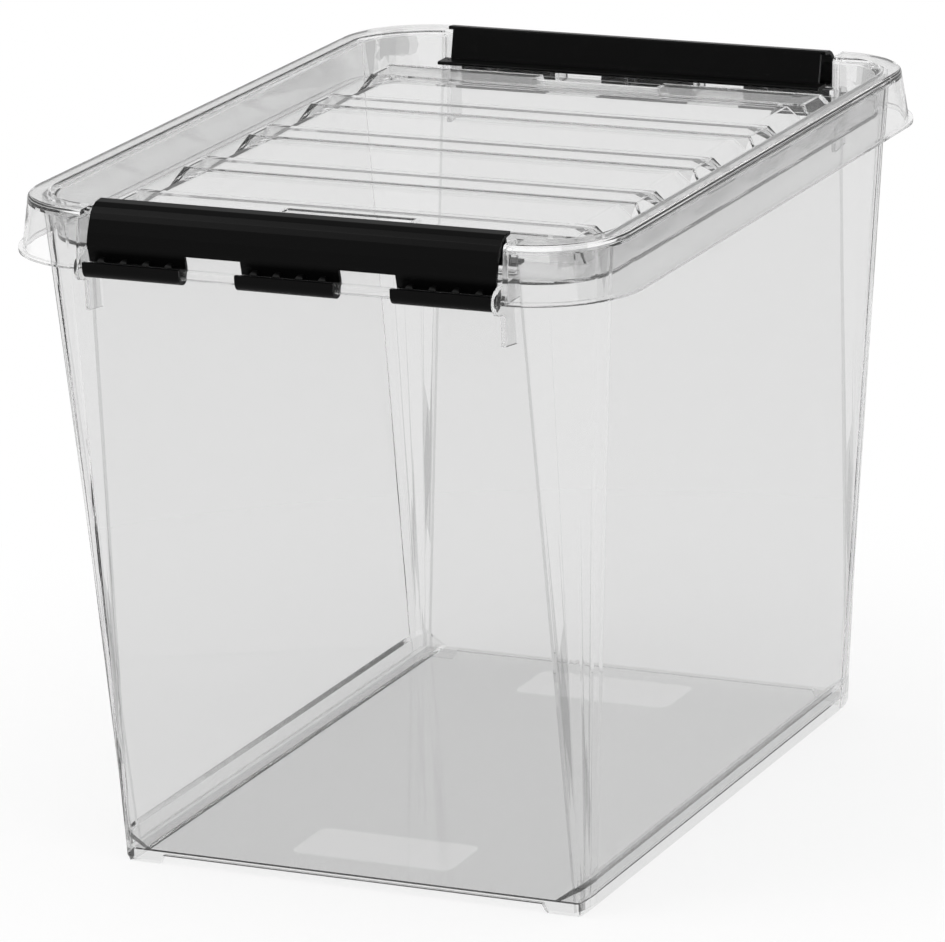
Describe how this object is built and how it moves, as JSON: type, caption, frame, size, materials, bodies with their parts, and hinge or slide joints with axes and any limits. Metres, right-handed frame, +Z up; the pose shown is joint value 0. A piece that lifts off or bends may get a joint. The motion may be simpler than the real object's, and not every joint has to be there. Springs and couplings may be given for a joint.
{
  "type": "lidded storage box",
  "caption": "Clear tapered storage box with a ribbed lift-off lid that is held down by black swing clips on the short sides.",
  "frame": {"origin": "centre of the box on the surface it stands on", "axes": "+Z up, X across the short sides, Y along the long sides, the front clip on the -Y side"},
  "size_m": [0.3712, 0.508, 0.3944],
  "materials": {
    "clear_plastic": "clear, smooth",
    "clear_lid_plastic": "clear, smooth",
    "black_plastic": "black, semi-gloss"
  },
  "bodies": {
    "tub_body": {"tub": "clear_plastic"},
    "lid_body": {"lid": "clear_lid_plastic"},
    "front_clip_body": {"front_clip": "black_plastic"},
    "rear_clip_body": {"rear_clip": "black_plastic"}
  },
  "joints": [
    {"name": "front_clip_swing", "type": "hinge", "parent": "tub_body", "child": "front_clip_body", "pos_m": [0, -0.2465, 0.3605], "axis": [1, 0, 0], "range_deg": [0, 160]},
    {"name": "rear_clip_swing", "type": "hinge", "parent": "tub_body", "child": "rear_clip_body", "pos_m": [0, 0.2465, 0.3605], "axis": [-1, 0, 0], "range_deg": [0, 160]},
    {"name": "lid_lift", "type": "slide", "parent": "tub_body", "child": "lid_body", "axis": [0, 0, 1], "range_m": [0, 0.03]}
  ],
  "couplings": [
    {"joint": "rear_clip_swing", "follows": "front_clip_swing", "ratio": 1},
    {"joint": "lid_lift", "follows": "front_clip_swing", "m_per_rad": 0.0107}
  ]
}
